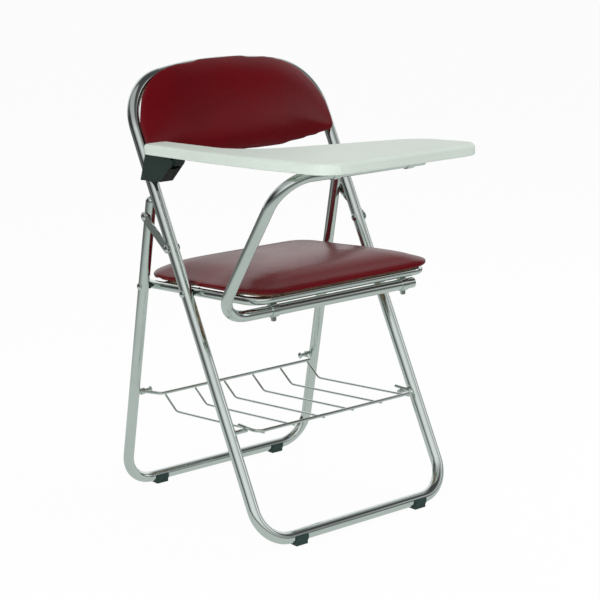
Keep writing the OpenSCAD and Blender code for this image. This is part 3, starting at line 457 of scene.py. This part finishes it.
class StudioSettings(bpy.types.PropertyGroup):
    """Floor, lamps and backdrop."""

    floor_radius: bpy.props.FloatProperty(
        name="Floor radius", description="Radius of the round floor", default=40.0,
        unit="LENGTH")
    floor_colour: bpy.props.FloatVectorProperty(
        name="Floor", description="Colour of the floor", subtype="COLOR", size=3,
        default=(0.86, 0.86, 0.86))
    mirrored_colour: bpy.props.FloatVectorProperty(
        name="Mirrored floor", description="Colour of the floor in the chrome", subtype="COLOR",
        size=3, default=(0.56, 0.59, 0.57))
    white_share: bpy.props.FloatProperty(
        name="White share", description="How much of the floor's look is plain white",
        default=0.95, min=0.0, max=1.0, subtype="FACTOR")
    key_power: bpy.props.FloatProperty(
        name="Key lamp", description="Power of the main lamp", default=66.0,
        unit="POWER")
    side_power: bpy.props.FloatProperty(
        name="Side lamp", description="Power of the lamp on the tablet's side", default=45.0,
        unit="POWER")
    fill_power: bpy.props.FloatProperty(
        name="Fill lamp", description="Power of the fill lamp", default=55.0,
        unit="POWER")
    top_power: bpy.props.FloatProperty(
        name="Top lamp", description="Power of the lamp over the chair", default=18.0,
        unit="POWER")
    sky: bpy.props.FloatProperty(
        name="Sky", description="Strength of the even light from all sides", default=0.45)


class CHAIR_OT_frame(bpy.types.Operator):
    """Gives the metal, rubber, board and moulded nodes their finishes"""

    bl_idname = "chair.frame"
    bl_label = "Frame Finishes"

    def execute(self, context):
        colours = context.scene.chair_colours
        give(chrome_finish(colours.chrome), *CHROME_NODES)
        give(rubber_finish(colours.rubber), *RUBBER_NODES)
        give(black_finish(colours.black), *BLACK_NODES)
        give(board_finish(colours.board), *BOARD_NODES)
        give(tablet_finish(colours.tablet), "tablet_board")
        return {"FINISHED"}


class CHAIR_OT_cushions(bpy.types.Operator):
    """Makes the padded seat and back"""

    bl_idname = "chair.cushions"
    bl_label = "Cushions"

    def execute(self, context):
        sizes = context.scene.chair_cushions
        vinyl = vinyl_finish(context.scene.chair_colours.vinyl)
        self.cushion(
            "seat_cushion", "seat_pad", "seat_board", "seat", sizes.seat_swell,
            sizes.seat_stand_out, vinyl)
        self.cushion(
            "back_cushion", "back_pad", "back_board", "frame", sizes.back_swell,
            sizes.back_stand_out, vinyl)
        return {"FINISHED"}

    def cushion(self, name, node, board, body, reach, stand_out, vinyl):
        sizes = bpy.context.scene.chair_cushions
        made = copy_of(node, name)
        mould = copy_of(node, name + "_mould")
        apply_modifier(made, "REMESH", mode="VOXEL", voxel_size=sizes.voxel, use_smooth_shade=True)
        smooth_points(made, ROUNDS_REMESHED)
        apply_modifier(made, "SHRINKWRAP", target=mould, wrap_method="NEAREST_SURFACEPOINT")
        smooth_points(made, ROUNDS_WRAPPED)
        mark(made, "rim", self.hem(points_of(made), board, sizes.rim))
        smooth_points(made, ROUNDS_RIM, "rim")
        outline = points_of(mould)
        bpy.data.objects.remove(mould, do_unlink=True)
        held = self.hem(points_of(made), board, sizes.hem)
        mark(made, "held", held)
        mark(made, "free", ~held)
        apply_modifier(
            made, "DISPLACE", strength=-reach / 2, mid_level=0.0, vertex_group="free")
        puff(made, reach, sizes.evening)
        smooth_points(made, ROUNDS_PUFFED)
        made.vertex_groups.clear()
        apply_modifier(made, "SUBSURF", levels=1, render_levels=1)
        self.fill_out(made, outline, board, stand_out)
        deselect()
        made.select_set(True)
        bpy.context.view_layer.objects.active = made
        bpy.ops.object.shade_smooth()
        made.data.materials.append(vinyl)
        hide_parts(node)
        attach(made, body)

    def fill_out(self, item, outline, board, stand_out):
        """Stretches the cushion in its board's plane until it is as wide and as long as its pad."""
        flat = points_of(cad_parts[board])
        points = points_of(item)
        for axis in np.linalg.svd(flat - flat.mean(axis=0), full_matrices=False)[2][:2]:
            place, wanted = points @ axis, outline @ axis
            low, high = wanted.min() - stand_out, wanted.max() + stand_out
            share = (place - place.min()) / (place.max() - place.min())
            points += (low + share * (high - low) - place)[:, None] * axis
        move_points(item, points)

    def hem(self, points, board, height):
        """The cover's lowest points, up to a height above the face where it is pulled round."""
        flat = points_of(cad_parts[board])
        middle = flat.mean(axis=0)
        normal = np.linalg.svd(flat - middle, full_matrices=False)[2][2]
        if (points.mean(axis=0) - middle) @ normal < 0:
            normal = -normal
        return (points - middle) @ normal < ((flat - middle) @ normal).min() + height


class CHAIR_OT_studio(bpy.types.Operator):
    """Makes the floor, the lamps, the sky and the camera"""

    bl_idname = "chair.studio"
    bl_label = "Studio"

    def execute(self, context):
        studio = context.scene.chair_studio
        deselect()
        bpy.ops.mesh.primitive_circle_add(
            vertices=FLOOR_SIDES, radius=studio.floor_radius, fill_type="NGON",
            location=(0, 0, -FLOOR_DROP))
        floor = context.active_object
        floor.name = "studio_floor"
        floor.data.materials.append(floor_finish(
            studio.floor_colour, studio.mirrored_colour, studio.white_share))
        for name, place, size, setting in LAMPS:
            self.lamp(name, place, size, getattr(studio, setting))
        self.sky(context, studio.sky)
        self.camera(context)
        context.scene.view_settings.view_transform = "Standard"
        return {"FINISHED"}

    def lamp(self, name, place, size, power):
        data = bpy.data.lights.new(name, "AREA")
        data.size = size
        data.energy = power
        made = bpy.data.objects.new(name, data)
        made.location = place
        made.visible_glossy = False
        aim = Vector(LAMP_AIM) - Vector(place)
        made.rotation_euler = aim.to_track_quat("-Z", "Y").to_euler()
        bpy.context.scene.collection.objects.link(made)

    def sky(self, context, strength):
        """Even light on the chair, plain white behind it, and a dim studio in its mirrors."""
        world = context.scene.world or bpy.data.worlds.new("studio_sky")
        context.scene.world = world
        world.use_nodes = True
        world.node_tree.nodes.clear()
        sky = Nodes(world.node_tree)
        mirrored = sky.ray("Is Glossy Ray") + sky.ray("Is Transmission Ray")
        level = strength * (1.0 - mirrored) * (1.0 - sky.ray("Is Camera Ray"))
        level = level + sky.ray("Is Camera Ray") + mirrored * self.studio_walls(sky)
        light = sky.node("ShaderNodeBackground", None, {"Color": WHITE, "Strength": level})
        output = world.node_tree.nodes.new("ShaderNodeOutputWorld")
        sky.put(output.inputs["Surface"], light)

    def studio_walls(self, sky):
        """What gloss shows: a dim room with a white wall, a window, a soft box and a ceiling."""
        way = sky.node("ShaderNodeTexCoord", out="Generated")
        level = sky.node("ShaderNodeVectorMath", {"operation": "MULTIPLY"}, {0: way, 1: (1, 1, 0)})
        level = sky.node("ShaderNodeVectorMath", {"operation": "NORMALIZE"}, {0: level})
        height = sky.node("ShaderNodeSeparateXYZ", None, {0: way}, out="Z")

        def strip(bearing, low, high):
            """1 towards a bearing, counted to the right from the camera's side of the chair."""
            turn = math.radians(bearing) - CAMERA_YAW
            toward = (math.sin(turn), -math.cos(turn), 0.0)
            values = {0: level, 1: toward}
            dot = sky.node("ShaderNodeVectorMath", {"operation": "DOT_PRODUCT"}, values, out=1)
            return dot.smooth(low, high)

        def below(low, high):
            """1 under a height of the look upwards, and 0 over it."""
            return 1.0 - height.smooth(low, high)

        wall = strip(bearing=180.0, low=0.35, high=0.8) * below(0.5, 0.95)
        window = strip(bearing=98.0, low=0.96, high=0.995)
        window = window * height.smooth(0.1, 0.25) * below(0.42, 0.56)
        box = strip(bearing=15.0, low=0.15, high=1.0)
        box = box * height.smooth(-0.05, 0.3) * below(0.45, 0.75)
        ceiling = strip(bearing=320.0, low=0.0, high=0.6) * height.smooth(0.45, 0.7)
        room = 0.03 + height.smooth(0.0, 0.5) * 0.04
        return room + wall * 0.9 + window + box * 0.85 + ceiling * 0.42

    def camera(self, context):
        data = bpy.data.cameras.new("photo_camera")
        data.sensor_width = SENSOR_WIDTH
        data.lens = SENSOR_WIDTH * FOCAL_PIXELS / PHOTO_WIDTH
        data.clip_end = VIEW_END
        made = bpy.data.objects.new("photo_camera", data)
        made.location = CAMERA_PLACE
        made.rotation_euler = (math.pi / 2 - CAMERA_PITCH, 0.0, -CAMERA_YAW)
        context.scene.collection.objects.link(made)
        context.scene.camera = made


class CHAIR_PT_panel(bpy.types.Panel):
    """Buttons that dress the chair"""

    bl_label = "Lecture Chair"
    bl_idname = "CHAIR_PT_panel"
    bl_space_type = "VIEW_3D"
    bl_region_type = "UI"
    bl_category = "Chair"

    def draw(self, context):
        for operator in OPERATORS:
            self.layout.operator(operator.bl_idname)


SETTINGS = {
    "chair_cushions": CushionSizes,
    "chair_colours": ChairColours,
    "chair_studio": StudioSettings,
}
OPERATORS = (CHAIR_OT_studio, CHAIR_OT_frame, CHAIR_OT_cushions)


def register():
    for group in SETTINGS.values():
        bpy.utils.register_class(group)
    for operator in OPERATORS:
        bpy.utils.register_class(operator)
    bpy.utils.register_class(CHAIR_PT_panel)
    for name, group in SETTINGS.items():
        setattr(bpy.types.Scene, name, bpy.props.PointerProperty(type=group))


def unregister():
    for name in SETTINGS:
        delattr(bpy.types.Scene, name)
    bpy.utils.unregister_class(CHAIR_PT_panel)
    for operator in reversed(OPERATORS):
        bpy.utils.unregister_class(operator)
    for group in SETTINGS.values():
        bpy.utils.unregister_class(group)


def main():
    register()
    bpy.ops.chair.studio()
    bpy.ops.chair.frame()
    bpy.ops.chair.cushions()


if __name__ == "__main__":
    main()
